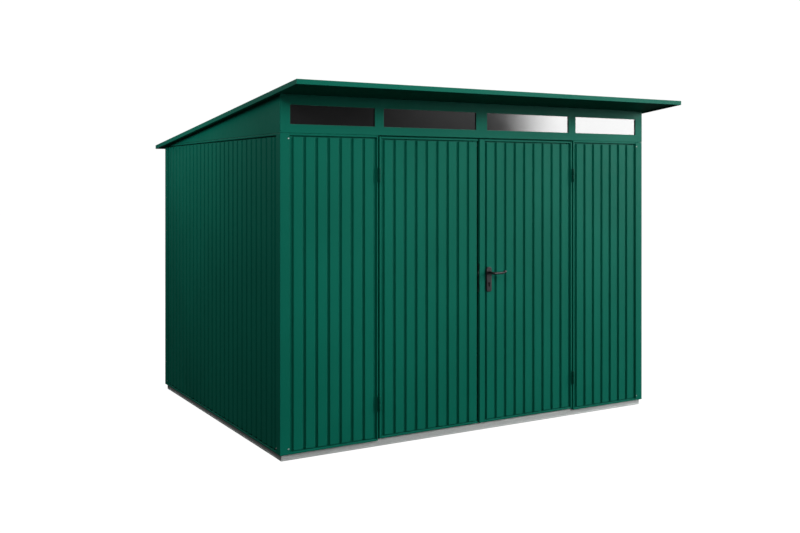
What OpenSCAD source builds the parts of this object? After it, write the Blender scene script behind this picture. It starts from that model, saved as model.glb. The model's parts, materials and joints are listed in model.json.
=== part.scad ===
/* [Overall size] */
// Width over the faces of the side walls
wall_w = 2926; // [2500:1:3600]
// Depth over the faces of the front and back walls
wall_d = 2276; // [1800:1:2800]
// Height of the roof's front edge above the ground
front_h = 2236; // [2190:1:2400]
// Height of the wall head, where the fascia and the gables begin
head_h = 1950; // [1800:1:1980]

/* [Base] */
// Height of the galvanised base frame
base_h = 38; // [25:1:60]
// How far the base frame stands back from the wall faces
base_inset = 15; // [5:1:25]
// Width of the base frame members
base_bar = 60; // [40:1:90]
// Number of cross bearers inside the base frame
bearer_n = 5; // [3:1:8]
// Width of a cross bearer
bearer_w = 40; // [25:1:60]
// Thickness of the floor panel
floor_t = 6; // [4:1:10]

/* [Wall frame] */
// Depth of the posts, rails, jambs and door leaves, from the face inwards
frame_t = 30; // [24:1:45]
// Width of a corner post seen from the front or the back
post_w = 62; // [45:1:90]
// Width of a corner post seen from the side
post_d = 60; // [45:1:90]
// Height of the lip that the bottom rails show
bottom_lip = 13; // [8:1:30]
// Height of the lip that the top rails show
top_lip = 14; // [8:1:30]
// How far the inner flanges reach behind a sheet
flange = 22; // [14:1:30]

/* [Profiled sheet] */
// Distance from one rib of the sheet to the next
rib_pitch = 80.8; // [60:0.1:120]
// Width of the groove between two ribs
groove_w = 24; // [16:1:36]
// Width of one sloping side of a groove
groove_slope = 5; // [2:0.5:8]
// Depth of the grooves in walls and doors
rib_d = 10; // [6:0.5:14]
// Thickness of the sheet
sheet_t = 1.5; // [1:0.1:3]
// How far the ribs stand back from the frame faces
sheet_set = 1.5; // [0:0.5:4]
// Width of the flat strip where a wall sheet meets a post or jamb
edge_strip = 27.5; // [20:0.5:34]
// Visible gap between a sheet's ribs and the rails above and below
rail_gap = 9; // [5:0.5:14]

/* [Doorway] */
// Width between the faces of the two door jambs
doorway_w = 1592; // [1200:1:1900]
// Gap between a jamb and the leaf it carries
hinge_gap = 11; // [9:0.5:14]
// Gap between the two leaves
meet_gap = 14; // [12:0.5:18]
// How far the gap between the leaves lies left of the middle
meet_left = 24; // [0:1:40]
// Gap over the leaves
leaf_top_gap = 8; // [6:0.5:12]
// Gap between the leaves and the threshold
leaf_bottom_gap = 6; // [6:0.5:12]
// Width of the lip around a leaf
leaf_lip = 12; // [8:1:20]
// Width of the flat stile on the leaf with the handle
stile_w = 42.5; // [36:0.5:60]
// Flat strip of sheet between a leaf's hinge lip and its first rib
leaf_strip = 25.5; // [20:0.5:34]
// Visible width of a jamb's lip
jamb_lip = 8; // [6:1:14]
// Width of a jamb behind the wall sheet
jamb_w = 33; // [26:1:45]
// How far the door stops reach behind a leaf
stop_w = 23; // [16:1:30]
// Thickness of the door stops
stop_t = 6; // [3:1:8]
// Clearance between a closed leaf and its stops
stop_gap = 6; // [5.5:0.5:10]
// Height of the beam over the doorway
head_beam = 36; // [24:1:40]

/* [Hinges] */
// Height of one hinge
hinge_h = 90; // [60:1:140]
// Radius of the hinge barrels
barrel_r = 7; // [6:0.5:8]
// Radius of the hinge pins
pin_r = 3.5; // [2.5:0.5:4]
// Distance from a leaf's top edge to the middle of its upper hinge
hinge_from_top = 239; // [120:1:400]
// Distance from a leaf's bottom edge to the middle of its lower hinge
hinge_from_bottom = 220; // [120:1:400]
// Thickness of the hinge wings
wing_t = 2.5; // [2:0.5:3]

/* [Lock and handle] */
// Height of the lever's axis above the ground
lever_z = 1051; // [900:1:1200]
// Distance from the meeting edge of the leaf to the lever's axis
lever_in = 74; // [66:1:90]
// Width of a handle plate
plate_w = 42; // [34:1:50]
// Height of a handle plate
plate_h = 166; // [150:1:220]
// Distance from a plate's top to the lever's axis
plate_over = 36; // [30:1:60]
// Thickness of a handle plate
plate_t = 9; // [5:1:12]
// Corner radius of a handle plate
plate_r = 14; // [5:1:16]
// Radius of the lever's neck and grip
lever_r = 8.5; // [7:0.5:10]
// Length of the grip from the lever's axis to the middle of its turned end
grip_len = 110; // [90:1:130]
// Distance from a handle plate to the middle of the grip
grip_out = 42; // [34:1:55]
// Length of the end that turns back towards the door
return_len = 24; // [12:1:28]
// Radius of the square-drive spindle's round sleeve
spindle_r = 5; // [4:0.5:7]
// Distance from the lever's axis down to the lock cylinder
keyhole_below = 72; // [55:1:92]
// Radius of the lock cylinder
cylinder_r = 8.5; // [7:0.5:9]
// Width of the lock cylinder's foot
cylinder_foot_w = 10; // [8:0.5:12]
// Overall height of the lock cylinder
cylinder_h = 33; // [28:1:36]
// Width of the lock case
case_w = 74; // [70:1:90]
// Height of the lock case
case_h = 190; // [180:1:240]

/* [Fascia and windows] */
// Thickness of the fascia and the gables
band_t = 7; // [4:1:14]
// Height from the wall head to the window sills
sill_h = 53; // [40:1:80]
// Height of the windows
window_h = 115.5; // [60:0.5:130]
// Distance from the end of the fascia to the first window
window_end = 66; // [40:1:100]
// Width of the mullions over the jambs
side_mullion = 65; // [40:1:100]
// Width of the mullion in the middle
mid_mullion = 90; // [50:1:140]
// Thickness of the window panes
pane_t = 4; // [3:1:6]
// How far a pane reaches behind the fascia around its window
pane_lap = 11; // [6:1:16]

/* [Roof] */
// Overhang of the roof in front of the front wall
front_over = 336; // [200:1:450]
// Overhang of the roof behind the back wall
back_over = 104; // [60:1:200]
// Overhang of the roof beside each side wall
side_over = 47; // [35:1:120]
// Height of the edge trims
trim_h = 29; // [24:1:60]
// Thickness of the edge trims
trim_t = 2; // [1:0.5:3]
// Width of the edge trims' top flange over the roof sheet
trim_top = 40; // [25:1:60]
// Width of the edge trims' bottom flange
trim_under = 20; // [10:1:30]
// Depth of the grooves in the roof sheet
roof_rib_d = 6; // [4:0.5:8]
// Depth of the soffit below the roof's top surface
soffit_drop = 18.5; // [14:0.5:22]
// Thickness of the soffit
soffit_t = 2; // [1:0.5:3]
// Number of purlins
purlin_n = 3; // [2:1:5]
// Height of a purlin
purlin_h = 40; // [30:1:50]
// Width of a purlin
purlin_w = 25; // [20:1:40]
// Wall thickness of a purlin
purlin_t = 2; // [1.5:0.5:4]

/* [Hidden] */
fit = 0.3;
pin_fit = 0.05;
$fn = 48;
green = [0.06, 0.36, 0.29];
zinc = [0.66, 0.67, 0.67];
black = [0.13, 0.12, 0.13];
tint = [0.14, 0.15, 0.16, 0.6];

// The origin is under the middle of the roof, on the ground
roof_d = wall_d + front_over + back_over;
roof_w = wall_w + 2 * side_over;
y_eave = -roof_d / 2;
y_front = y_eave + front_over;
y_back = y_front + wall_d;
y_rear = roof_d / 2;

// The roof falls from its front edge so that its sheet lands on the head of the back wall
deck_t = roof_rib_d + sheet_t;
roof_build = trim_t + fit + deck_t + fit;
fall = front_h - head_h;
run = front_over + wall_d;
roof_a = atan2(fall, run) - asin(roof_build / norm([fall, run]));
slope = tan(roof_a);
function roof_z(y, under = 0) = front_h - slope * (y - y_eave) - under / cos(roof_a);

seat = sheet_set + rib_d + sheet_t;
sheet_bottom = base_h + bottom_lip;
sheet_top = head_h - top_lip;
floor_z = base_h + floor_t;
jamb_x = doorway_w / 2;
bay = wall_w / 2 - post_w - jamb_x - jamb_lip;

// Each leaf is drawn with its hinge edge at x = 0 and then placed or mirrored
leaf_bottom = floor_z + leaf_bottom_gap;
leaf_top = head_h - leaf_top_gap;
left_leaf_w = jamb_x - hinge_gap - meet_left - meet_gap / 2;
right_leaf_w = jamb_x - hinge_gap + meet_left - meet_gap / 2;
leaf_flange = leaf_lip + flange;
hinge_z = [leaf_bottom + hinge_from_bottom, leaf_top - hinge_from_top];
hinge_out = barrel_r + 1;
lever_x = right_leaf_w - lever_in;
case_x = right_leaf_w - stile_w - case_w;
plate_back = sheet_set;
grip_y = plate_back - plate_t - grip_out;
inner_plate = frame_t;
inner_grip_y = inner_plate + plate_t + grip_out;
keyhole_z = lever_z - keyhole_below;

mullion_x = jamb_x - hinge_gap / 2 - 4;
window_x = [
    [-wall_w / 2 + window_end, -mullion_x - side_mullion / 2],
    [-mullion_x + side_mullion / 2, -mid_mullion / 2],
    [mid_mullion / 2, mullion_x - side_mullion / 2],
    [mullion_x + side_mullion / 2, wall_w / 2 - window_end]
];

// A box given by its lowest and highest corner
module block(a, b) {
    translate(a) cube(b - a);
}

// Places a wall's own frame: x runs along the wall, y goes inwards from its face
module on_side(side) {
    if (side == "front") translate([-wall_w / 2, y_front, 0]) children();
    if (side == "right") translate([wall_w / 2, y_front, 0]) rotate([0, 0, 90]) children();
    if (side == "back") translate([wall_w / 2, y_back, 0]) rotate([0, 0, 180]) children();
    if (side == "left") translate([-wall_w / 2, y_back, 0]) rotate([0, 0, -90]) children();
}

// Places the roof's own frame: y runs down the slope and z stands square to it
module on_roof() {
    translate([0, y_eave, front_h]) rotate([-roof_a, 0, 0]) children();
}

// Extrudes an outline of [y, z] points along x
module along_x(x0, x1, points) {
    translate([x0, 0, 0]) rotate([90, 0, 90]) linear_extrude(x1 - x0) polygon(points);
}

// Middles of the grooves of a sheet that is symmetrical about its own middle
function even_grooves(w, strip) = [
    for (k = [-ceil(w / rib_pitch) : ceil(w / rib_pitch)])
        let (x = w / 2 + (k + 0.5) * rib_pitch)
        if (x - groove_w > strip && x + groove_w < w - strip) x
];

// Middles of the grooves of a sheet whose first rib starts at a given strip
function run_grooves(w, strip) = [
    for (k = [0 : ceil(w / rib_pitch)])
        let (x = strip + (k + 1) * rib_pitch - groove_w / 2)
        if (x + groove_w < w) x
];

// One surface of the profiled sheet: points from x = a to x = b, d deep in the grooves
function sheet_line(a, b, rib_a, rib_b, grooves, d, lift) = concat(
    [[a, d + lift], [rib_a - groove_slope, d + lift], [rib_a, lift]],
    [for (g = grooves) each [
        [g - groove_w / 2, lift],
        [g - groove_w / 2 + groove_slope, d + lift],
        [g + groove_w / 2 - groove_slope, d + lift],
        [g + groove_w / 2, lift]
    ]],
    [[rib_b, lift], [rib_b + groove_slope, d + lift], [b, d + lift]]
);

function reversed(v) = [for (i = [len(v) - 1 : -1 : 0]) v[i]];

// Outline of the sheet in plan: front surface out and back surface home
function sheet_outline(w, strip_a, strip_b, grooves, d) = concat(
    sheet_line(fit, w - fit, strip_a, w - strip_b, grooves, d, 0),
    reversed(sheet_line(fit, w - fit, strip_a, w - strip_b, grooves, d, sheet_t))
);

// A wall sheet that fills a bay of width w between posts or jambs
module wall_sheet(x0, w) {
    translate([x0, sheet_set, sheet_bottom + rail_gap])
        linear_extrude(sheet_top - sheet_bottom - 2 * rail_gap)
            polygon(sheet_outline(w, edge_strip, edge_strip, even_grooves(w, edge_strip), rib_d));
}

module base_frame() {
    x = wall_w / 2 - base_inset;
    y0 = y_front + base_inset;
    y1 = y_back - base_inset;
    pitch = (2 * x - 2 * base_bar - bearer_w) / (bearer_n + 1);
    color(zinc) {
        difference() {
            block([-x, y0, 0], [x, y1, base_h]);
            block([-x + base_bar, y0 + base_bar, -1], [x - base_bar, y1 - base_bar, base_h + 1]);
        }
        for (i = [1 : bearer_n])
            translate([-x + base_bar + i * pitch, y0 + base_bar, 0])
                cube([bearer_w, y1 - y0 - 2 * base_bar, base_h]);
    }
}

// The floor panel fills the inside and is notched around the door jambs
module floor_panel() {
    e = frame_t + 1;
    color(zinc) difference() {
        block([-wall_w / 2 + e, y_front + e, base_h], [wall_w / 2 - e, y_back - e, floor_z]);
        for (side = [-1, 1])
            translate([side * (jamb_x + (jamb_w - stop_w) / 2), y_front, base_h])
                block([-(jamb_w + stop_w) / 2 - 1, 0, -1],
                      [(jamb_w + stop_w) / 2 + 1, frame_t + stop_gap + stop_t + 1, floor_t + 1]);
    }
}

module threshold() {
    color(zinc)
        block([-jamb_x + fit, y_front + base_inset, base_h],
              [jamb_x - fit, y_front + frame_t + 1 - fit, floor_z]);
}

// An L-shaped corner post: a legs along x, b legs along y, with flanges behind the sheets
module post(a, b) {
    color(green) translate([0, 0, base_h]) linear_extrude(head_h - base_h) polygon([
        [0, 0], [a, 0], [a, seat], [a + flange, seat], [a + flange, frame_t], [frame_t, frame_t],
        [frame_t, b + flange], [seat, b + flange], [seat, b], [0, b]
    ]);
}

module front_left_post() {
    on_side("front") post(post_w, post_d);
}

module front_right_post() {
    on_side("right") post(post_d, post_w);
}

module back_right_post() {
    on_side("back") post(post_w, post_d);
}

module back_left_post() {
    on_side("left") post(post_d, post_w);
}

// A rail from x0 to x1: its lip shows, and its flange reaches behind the sheet
module bottom_rail(x0, x1, set0, set1) {
    color(green) {
        block([x0, 0, base_h], [x1, seat, sheet_bottom]);
        block([x0 + set0, seat, base_h], [x1 - set1, frame_t, sheet_bottom + rail_gap + flange]);
    }
}

module top_rail(x0, x1, set0, set1) {
    color(green) {
        block([x0, 0, sheet_top], [x1, seat, head_h]);
        block([x0 + set0, seat, sheet_top - rail_gap - flange], [x1 - set1, frame_t, head_h]);
    }
}

module front_bottom_rails() {
    on_side("front") {
        bottom_rail(post_w, post_w + bay, flange, jamb_w - jamb_lip);
        bottom_rail(wall_w - post_w - bay, wall_w - post_w, jamb_w - jamb_lip, flange);
    }
}

module front_top_rails() {
    on_side("front") {
        top_rail(post_w, post_w + bay, flange, jamb_w - jamb_lip);
        top_rail(wall_w - post_w - bay, wall_w - post_w, jamb_w - jamb_lip, flange);
    }
}

module side_bottom_rail(side) {
    on_side(side) bottom_rail(post_d, wall_d - post_d, flange, flange);
}

module side_top_rail(side) {
    on_side(side) top_rail(post_d, wall_d - post_d, flange, flange);
}

module back_bottom_rail() {
    on_side("back") bottom_rail(post_w, wall_w - post_w, flange, flange);
}

module back_top_rail() {
    on_side("back") top_rail(post_w, wall_w - post_w, flange, flange);
}

module front_left_sheet() {
    color(green) on_side("front") wall_sheet(post_w, bay);
}

module front_right_sheet() {
    color(green) on_side("front") wall_sheet(wall_w - post_w - bay, bay);
}

module side_sheet(side) {
    color(green) on_side(side) wall_sheet(post_d, wall_d - 2 * post_d);
}

module back_wall_sheet() {
    color(green) on_side("back") wall_sheet(post_w, wall_w - 2 * post_w);
}

// A door jamb with its lip, a box behind the sheet and a stop behind the leaf
module jamb() {
    y_stop = frame_t + stop_gap;
    color(green) translate([-jamb_x, y_front, base_h]) linear_extrude(head_h - base_h) polygon([
        [-jamb_lip, 0], [0, 0], [0, y_stop], [stop_w, y_stop], [stop_w, y_stop + stop_t],
        [-jamb_w, y_stop + stop_t], [-jamb_w, seat], [-jamb_lip, seat]
    ]);
}

module left_door_jamb() {
    jamb();
}

module right_door_jamb() {
    mirror([1, 0, 0]) jamb();
}

// The beam over the doorway, with a stop that hangs behind the leaves
module door_head() {
    y_stop = y_front + frame_t + stop_gap;
    color(green) {
        block([-jamb_x - jamb_w, y_front + band_t, head_h],
              [jamb_x + jamb_w, y_stop + stop_t, head_h + head_beam]);
        block([-jamb_x + stop_w, y_stop, head_h - leaf_top_gap - stop_w],
              [jamb_x - stop_w, y_stop + stop_t, head_h]);
    }
}

// The half of a hinge on the jamb: lower barrel, pin and wing, about the hinge axis at x = y = 0
module jamb_hinge() {
    gap = hinge_gap / 2;
    translate([0, 0, -hinge_h / 2]) cylinder(r = barrel_r, h = hinge_h / 2 - 0.5);
    translate([0, 0, -1]) cylinder(r = pin_r, h = hinge_h / 2 - 3);
    block([-gap, 0, -hinge_h / 2], [-gap + wing_t, hinge_out, -0.5]);
    block([-gap, hinge_out, -hinge_h / 2], [-gap + wing_t, hinge_out + frame_t, hinge_h / 2]);
}

// The half of a hinge on the leaf: upper barrel with its bore and wing
module leaf_hinge() {
    gap = hinge_gap / 2;
    difference() {
        union() {
            translate([0, 0, 0.5]) cylinder(r = barrel_r, h = hinge_h / 2 - 0.5);
            block([gap - wing_t, 0, 0.5], [gap, hinge_out, hinge_h / 2]);
        }
        translate([0, 0, -1]) cylinder(r = pin_r + pin_fit, h = hinge_h / 2 - 2);
    }
    block([gap - wing_t, hinge_out, -hinge_h / 2], [gap, hinge_out + frame_t, hinge_h / 2]);
}

// Places the hinges of the left leaf
module at_hinges() {
    for (z = hinge_z)
        translate([-jamb_x + hinge_gap / 2, y_front - hinge_out, z]) children();
}

module jamb_hinges() {
    color(green) {
        at_hinges() jamb_hinge();
        mirror([1, 0, 0]) at_hinges() jamb_hinge();
    }
}

module left_door_hinges() {
    color(green) at_hinges() leaf_hinge();
}

module right_door_hinges() {
    color(green) mirror([1, 0, 0]) at_hinges() leaf_hinge();
}

// Places a leaf that is drawn with its hinge edge at x = 0 and its face at y = 0
module hang_leaf() {
    translate([-jamb_x + hinge_gap, y_front, 0]) children();
}

// A leaf's frame: a shallow lip in front and a flange behind the sheet
module leaf_frame(w, meet_lip) {
    color(green) difference() {
        block([0, 0, leaf_bottom], [w, frame_t, leaf_top]);
        block([leaf_lip, -1, leaf_bottom + leaf_lip], [w - meet_lip, seat, leaf_top - leaf_lip]);
        block([leaf_flange, -1, leaf_bottom + leaf_flange],
              [w - max(meet_lip, leaf_flange), frame_t + 1, leaf_top - leaf_flange]);
    }
}

// A leaf's sheet, between its hinge lip and its meeting edge, where its last rib may be cut narrower
module leaf_sheet(w, meet_lip) {
    room = w - leaf_lip - meet_lip;
    grooves = run_grooves(room, leaf_strip);
    last = min(grooves[len(grooves) - 1] + rib_pitch, room) - groove_w / 2;
    gap = rail_gap - 1;
    translate([leaf_lip, sheet_set, leaf_bottom + leaf_lip + gap])
        linear_extrude(leaf_top - leaf_bottom - 2 * (leaf_lip + gap))
            polygon(sheet_outline(room, leaf_strip, room - last, grooves, rib_d));
}

module left_door_frame() {
    hang_leaf() leaf_frame(left_leaf_w, 0);
}

module left_door_sheet() {
    color(green) hang_leaf() leaf_sheet(left_leaf_w, 0);
}

module right_door_frame() {
    mirror([1, 0, 0]) hang_leaf() leaf_frame(right_leaf_w, stile_w);
}

// Outline of the lock cylinder: a circle with a foot, grown by a clearance
module cylinder_outline(grow) {
    circle(r = cylinder_r + grow);
    translate([-cylinder_foot_w / 2 - grow, cylinder_r - cylinder_h - grow])
        square([cylinder_foot_w + 2 * grow, cylinder_h - cylinder_r + grow]);
}

// Turns an outline of [x, z] points into a bar from y0 to y1 in the right leaf's frame
module through(y0, y1) {
    translate([0, y1, 0]) rotate([90, 0, 0]) linear_extrude(y1 - y0) children();
}

// Holes for the spindle and the lock cylinder
module lock_holes() {
    far = frame_t + plate_t + 1;
    translate([lever_x, far, lever_z]) rotate([90, 0, 0])
        cylinder(r = spindle_r + fit, h = far + plate_t + 1);
    through(-plate_t - 1, far) translate([lever_x, keyhole_z]) cylinder_outline(fit);
}

module right_door_sheet() {
    color(green) mirror([1, 0, 0]) hang_leaf() difference() {
        leaf_sheet(right_leaf_w, stile_w);
        lock_holes();
    }
}

module lock_case() {
    z = lever_z - keyhole_below / 2 - case_h / 2;
    color(zinc) mirror([1, 0, 0]) hang_leaf() difference() {
        block([case_x, seat, z], [case_x + case_w, frame_t, z + case_h]);
        lock_holes();
    }
}

module lock_cylinder() {
    color(zinc) mirror([1, 0, 0]) hang_leaf()
        through(plate_back - plate_t - 2, inner_plate + plate_t + 2)
            translate([lever_x, keyhole_z]) cylinder_outline(0);
}

// A rounded rectangle about a plate's place
module plate_outline() {
    z0 = lever_z + plate_over - plate_h;
    x0 = lever_x - plate_w / 2;
    translate([x0 + plate_r, z0]) square([plate_w - 2 * plate_r, plate_h]);
    translate([x0, z0 + plate_r]) square([plate_w, plate_h - 2 * plate_r]);
    for (x = [x0 + plate_r, x0 + plate_w - plate_r])
        for (z = [z0 + plate_r, z0 + plate_h - plate_r])
            translate([x, z]) circle(r = plate_r);
}

module handle_plates() {
    color(black) mirror([1, 0, 0]) hang_leaf() difference() {
        union() {
            through(plate_back - plate_t, plate_back) plate_outline();
            through(inner_plate, inner_plate + plate_t) plate_outline();
        }
        lock_holes();
    }
}

// One lever: neck, grip and turned end, from y = 0 outwards by the given sign
module lever(out) {
    rotate([out > 0 ? -90 : 90, 0, 0]) cylinder(r = lever_r, h = grip_out);
    translate([0, out * grip_out, 0]) {
        sphere(r = lever_r);
        rotate([0, -90, 0]) cylinder(r = lever_r, h = grip_len);
        translate([-grip_len, 0, 0]) {
            sphere(r = lever_r);
            rotate([out > 0 ? 90 : -90, 0, 0]) cylinder(r = lever_r, h = return_len);
            translate([0, -out * return_len, 0]) sphere(r = lever_r);
        }
    }
}

module lever_handle() {
    y0 = plate_back - plate_t - fit;
    y1 = inner_plate + plate_t + fit;
    color(black) mirror([1, 0, 0]) hang_leaf() translate([lever_x, 0, lever_z]) {
        translate([0, y0, 0]) rotate([-90, 0, 0]) cylinder(r = spindle_r, h = y1 - y0);
        translate([0, y0, 0]) lever(-1);
        translate([0, y1, 0]) lever(1);
    }
}

// The fascia over the front wall, with its four windows cut out
module window_band() {
    color(green) difference() {
        along_x(-wall_w / 2, wall_w / 2, [
            [y_front, head_h], [y_front + band_t, head_h],
            [y_front + band_t, roof_z(y_front + band_t, roof_build)],
            [y_front, roof_z(y_front, roof_build)]
        ]);
        for (w = window_x)
            block([w[0], y_front - 1, head_h + sill_h],
                  [w[1], y_front + band_t + 1, head_h + sill_h + window_h]);
    }
}

module window_panes() {
    z = head_h + sill_h;
    color(tint)
        for (w = window_x)
            block([w[0] - pane_lap, y_front + band_t, z - pane_lap],
                  [w[1] + pane_lap, y_front + band_t + pane_t, z + window_h + pane_lap]);
}

// A gable: a flat plate on the side wall's head that runs out to nothing at the back
module gable(x0) {
    y0 = y_front + band_t;
    y1 = y_back - (3 - fit) / slope;
    color(green) along_x(x0, x0 + band_t, [
        [y0, head_h], [y1, head_h], [y1, roof_z(y1, roof_build)], [y0, roof_z(y0, roof_build)]
    ]);
}

module left_gable() {
    gable(-wall_w / 2);
}

module right_gable() {
    gable(wall_w / 2 - band_t);
}

// The roof sheet lies inside the edge trims and under their top flanges
module roof_sheet() {
    w = roof_w - 2 * trim_t;
    strip = edge_strip + trim_top;
    low = trim_t + fit;
    y0 = (low + roof_build * sin(roof_a)) / cos(roof_a);
    y1 = roof_d / cos(roof_a);
    color(green) on_roof() translate([-w / 2, y1, -low])
        rotate([90, 0, 0]) linear_extrude(y1 - y0) mirror([0, 1])
            polygon(sheet_outline(w, strip, strip, even_grooves(w, strip), roof_rib_d));
}

// Channel-shaped purlins from gable to gable, under the roof sheet
module roof_purlins() {
    top = -roof_build;
    x = wall_w / 2 - band_t;
    color(zinc) on_roof()
        for (i = [1 : purlin_n]) {
            y = (front_over + wall_d * i / (purlin_n + 1)) / cos(roof_a);
            along_x(-x, x, [
                [y, top], [y + purlin_w, top], [y + purlin_w, top - purlin_t], [y + purlin_t, top - purlin_t],
                [y + purlin_t, top - purlin_h + purlin_t], [y + purlin_w, top - purlin_h + purlin_t],
                [y + purlin_w, top - purlin_h], [y, top - purlin_h]
            ]);
        }
}

// The soffit closes the overhang on all four sides, around the walls
module soffit() {
    x = roof_w / 2 - trim_t - fit;
    c = cos(roof_a);
    lift = (soffit_drop + soffit_t) * sin(roof_a);
    color(green) on_roof() difference() {
        block([-x, (trim_t + fit + lift) / c, -soffit_drop - soffit_t],
              [x, (roof_d - trim_t - fit) / c, -soffit_drop]);
        block([-wall_w / 2 - fit, (front_over - fit) / c, -soffit_drop - soffit_t - 1],
              [wall_w / 2 + fit, (front_over + wall_d + fit + lift) / c, -soffit_drop + 1]);
    }
}

// The front trim is a channel: top flange over the sheet, upright face, bottom flange
module front_roof_trim() {
    x = roof_w / 2 - trim_t;
    y0 = y_eave;
    y1 = y_eave + trim_t;
    y2 = y_eave + trim_top;
    y3 = y_eave + trim_under;
    color(green) along_x(-x, x, [
        [y0, roof_z(y0)], [y2, roof_z(y2)], [y2, roof_z(y2, trim_t)], [y1, roof_z(y1, trim_t)],
        [y1, roof_z(y1, trim_h - trim_t)], [y3, roof_z(y3, trim_h - trim_t)],
        [y3, roof_z(y3, trim_h)], [y0, roof_z(y0, trim_h)]
    ]);
}

// The back trim stays below the roof sheet, which drains over it
module back_roof_trim() {
    x = roof_w / 2 - trim_t;
    y0 = y_rear;
    y1 = y_rear - trim_t;
    y3 = y_rear - trim_under;
    color(green) along_x(-x, x, [
        [y0, roof_z(y0, roof_build)], [y1, roof_z(y1, roof_build)], [y1, roof_z(y1, trim_h - trim_t)],
        [y3, roof_z(y3, trim_h - trim_t)], [y3, roof_z(y3, trim_h)], [y0, roof_z(y0, trim_h)]
    ]);
}

// A side trim: upright face from eave to back edge, with flanges between the other trims
module side_trim(x) {
    flange_lines = [[0, trim_top, y_eave + trim_top + fit, y_rear],
                    [trim_h - trim_t, trim_under, y_eave + trim_under + fit, y_rear - trim_under - fit]];
    color(green) {
        along_x(x, x + trim_t, [
            [y_eave, roof_z(y_eave)], [y_rear, roof_z(y_rear)],
            [y_rear, roof_z(y_rear, trim_h)], [y_eave, roof_z(y_eave, trim_h)]
        ]);
        for (f = flange_lines)
            along_x(x + trim_t, x + f[1], [
                [f[2], roof_z(f[2], f[0])], [f[3], roof_z(f[3], f[0])],
                [f[3], roof_z(f[3], f[0] + trim_t)], [f[2], roof_z(f[2], f[0] + trim_t)]
            ]);
    }
}

module left_roof_trim() {
    side_trim(-roof_w / 2);
}

module right_roof_trim() {
    mirror([1, 0, 0]) side_trim(-roof_w / 2);
}

base_frame();
floor_panel();
threshold();
front_left_post();
front_right_post();
back_left_post();
back_right_post();
front_left_sheet();
front_right_sheet();
side_sheet("left");  // left_wall_sheet
side_sheet("right");  // right_wall_sheet
back_wall_sheet();
front_bottom_rails();
side_bottom_rail("left");  // left_bottom_rail
side_bottom_rail("right");  // right_bottom_rail
back_bottom_rail();
front_top_rails();
side_top_rail("left");  // left_top_rail
side_top_rail("right");  // right_top_rail
back_top_rail();
left_door_jamb();
right_door_jamb();
door_head();
jamb_hinges();
window_band();
window_panes();
left_gable();
right_gable();
roof_sheet();
roof_purlins();
soffit();
front_roof_trim();
back_roof_trim();
left_roof_trim();
right_roof_trim();
left_door_frame();
left_door_sheet();
left_door_hinges();
right_door_frame();
right_door_sheet();
right_door_hinges();
lock_case();
lock_cylinder();
handle_plates();
lever_handle();
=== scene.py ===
import json
import math

import bmesh
import bpy
import numpy as np
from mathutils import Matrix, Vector


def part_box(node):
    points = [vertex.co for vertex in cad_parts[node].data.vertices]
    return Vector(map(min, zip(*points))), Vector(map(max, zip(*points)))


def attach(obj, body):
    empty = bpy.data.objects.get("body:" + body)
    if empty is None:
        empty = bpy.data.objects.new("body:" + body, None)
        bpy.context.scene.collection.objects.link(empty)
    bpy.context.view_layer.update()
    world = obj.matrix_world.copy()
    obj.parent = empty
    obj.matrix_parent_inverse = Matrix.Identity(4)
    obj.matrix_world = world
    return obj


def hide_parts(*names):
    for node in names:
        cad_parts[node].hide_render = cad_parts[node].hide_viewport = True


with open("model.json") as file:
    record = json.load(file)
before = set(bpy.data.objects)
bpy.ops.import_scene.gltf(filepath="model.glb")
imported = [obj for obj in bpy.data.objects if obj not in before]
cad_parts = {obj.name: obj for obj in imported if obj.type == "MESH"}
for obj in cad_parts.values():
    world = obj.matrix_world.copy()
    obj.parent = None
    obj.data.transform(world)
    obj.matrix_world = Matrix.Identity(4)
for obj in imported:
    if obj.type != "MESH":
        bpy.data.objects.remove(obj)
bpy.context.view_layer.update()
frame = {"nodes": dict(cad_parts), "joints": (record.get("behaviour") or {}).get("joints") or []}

# ---------------------------------------------------------------- places that the frame gives
POST_LOW, POST_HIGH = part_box("front_left_post")
REAR_POST_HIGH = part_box("back_right_post")[1]
X_WALL = -POST_LOW.x
Y_FRONT, Y_BACK = POST_LOW.y, REAR_POST_HIGH.y
Z_BASE, Z_HEAD = POST_LOW.z, POST_HIGH.z
WALL_W, WALL_D = 2 * X_WALL, Y_BACK - Y_FRONT
ROOF_LOW, ROOF_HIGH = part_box("left_roof_trim")
X_ROOF, Y_EAVE, Y_REAR = -ROOF_LOW.x, ROOF_LOW.y, ROOF_HIGH.y
Z_ROOF = ROOF_HIGH.z
SHEET_LOW, SHEET_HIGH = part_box("front_left_sheet")
LEVER_AT = Vector(next(j["pos_m"] for j in frame["joints"] if j["name"] == "lever_turn"))
HINGE_AT = Vector(next(j["pos_m"] for j in frame["joints"] if j["name"] == "left_door_hinge"))

# ---------------------------------------------------------------- sizes shared with the design, in metres
POST_W, POST_D = 0.062, 0.060
SEAT, FRAME_T, FLANGE = 0.013, 0.030, 0.022
BOTTOM_LIP, TOP_LIP, RAIL_GAP = 0.013, 0.014, 0.009
RIB_PITCH, GROOVE, SLOPE, RIB_D = 0.0808, 0.024, 0.005, 0.010
SHEET_T, SHEET_SET, EDGE_STRIP, FIT = 0.0011, 0.0015, 0.0275, 0.0003
LEAF_STRIP, LEAF_LIP, STILE_W = 0.0255, 0.012, 0.0425
JAMB_LIP, JAMB_W, STOP_W, STOP_T, STOP_GAP = 0.008, 0.033, 0.023, 0.006, 0.006
DOORWAY_X = 0.796
BAND_T, PANE_LAP = 0.007, 0.011
TRIM_H, TRIM_T, TRIM_TOP, TRIM_UNDER = 0.029, 0.002, 0.040, 0.020
ROOF_RIB_D, ROOF_BUILD = 0.006, 0.0101
SOFFIT_DROP, SOFFIT_T = 0.0185, 0.002
PURLIN_H, PURLIN_W, PURLIN_T, PURLIN_N = 0.040, 0.025, 0.002, 3
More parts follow.
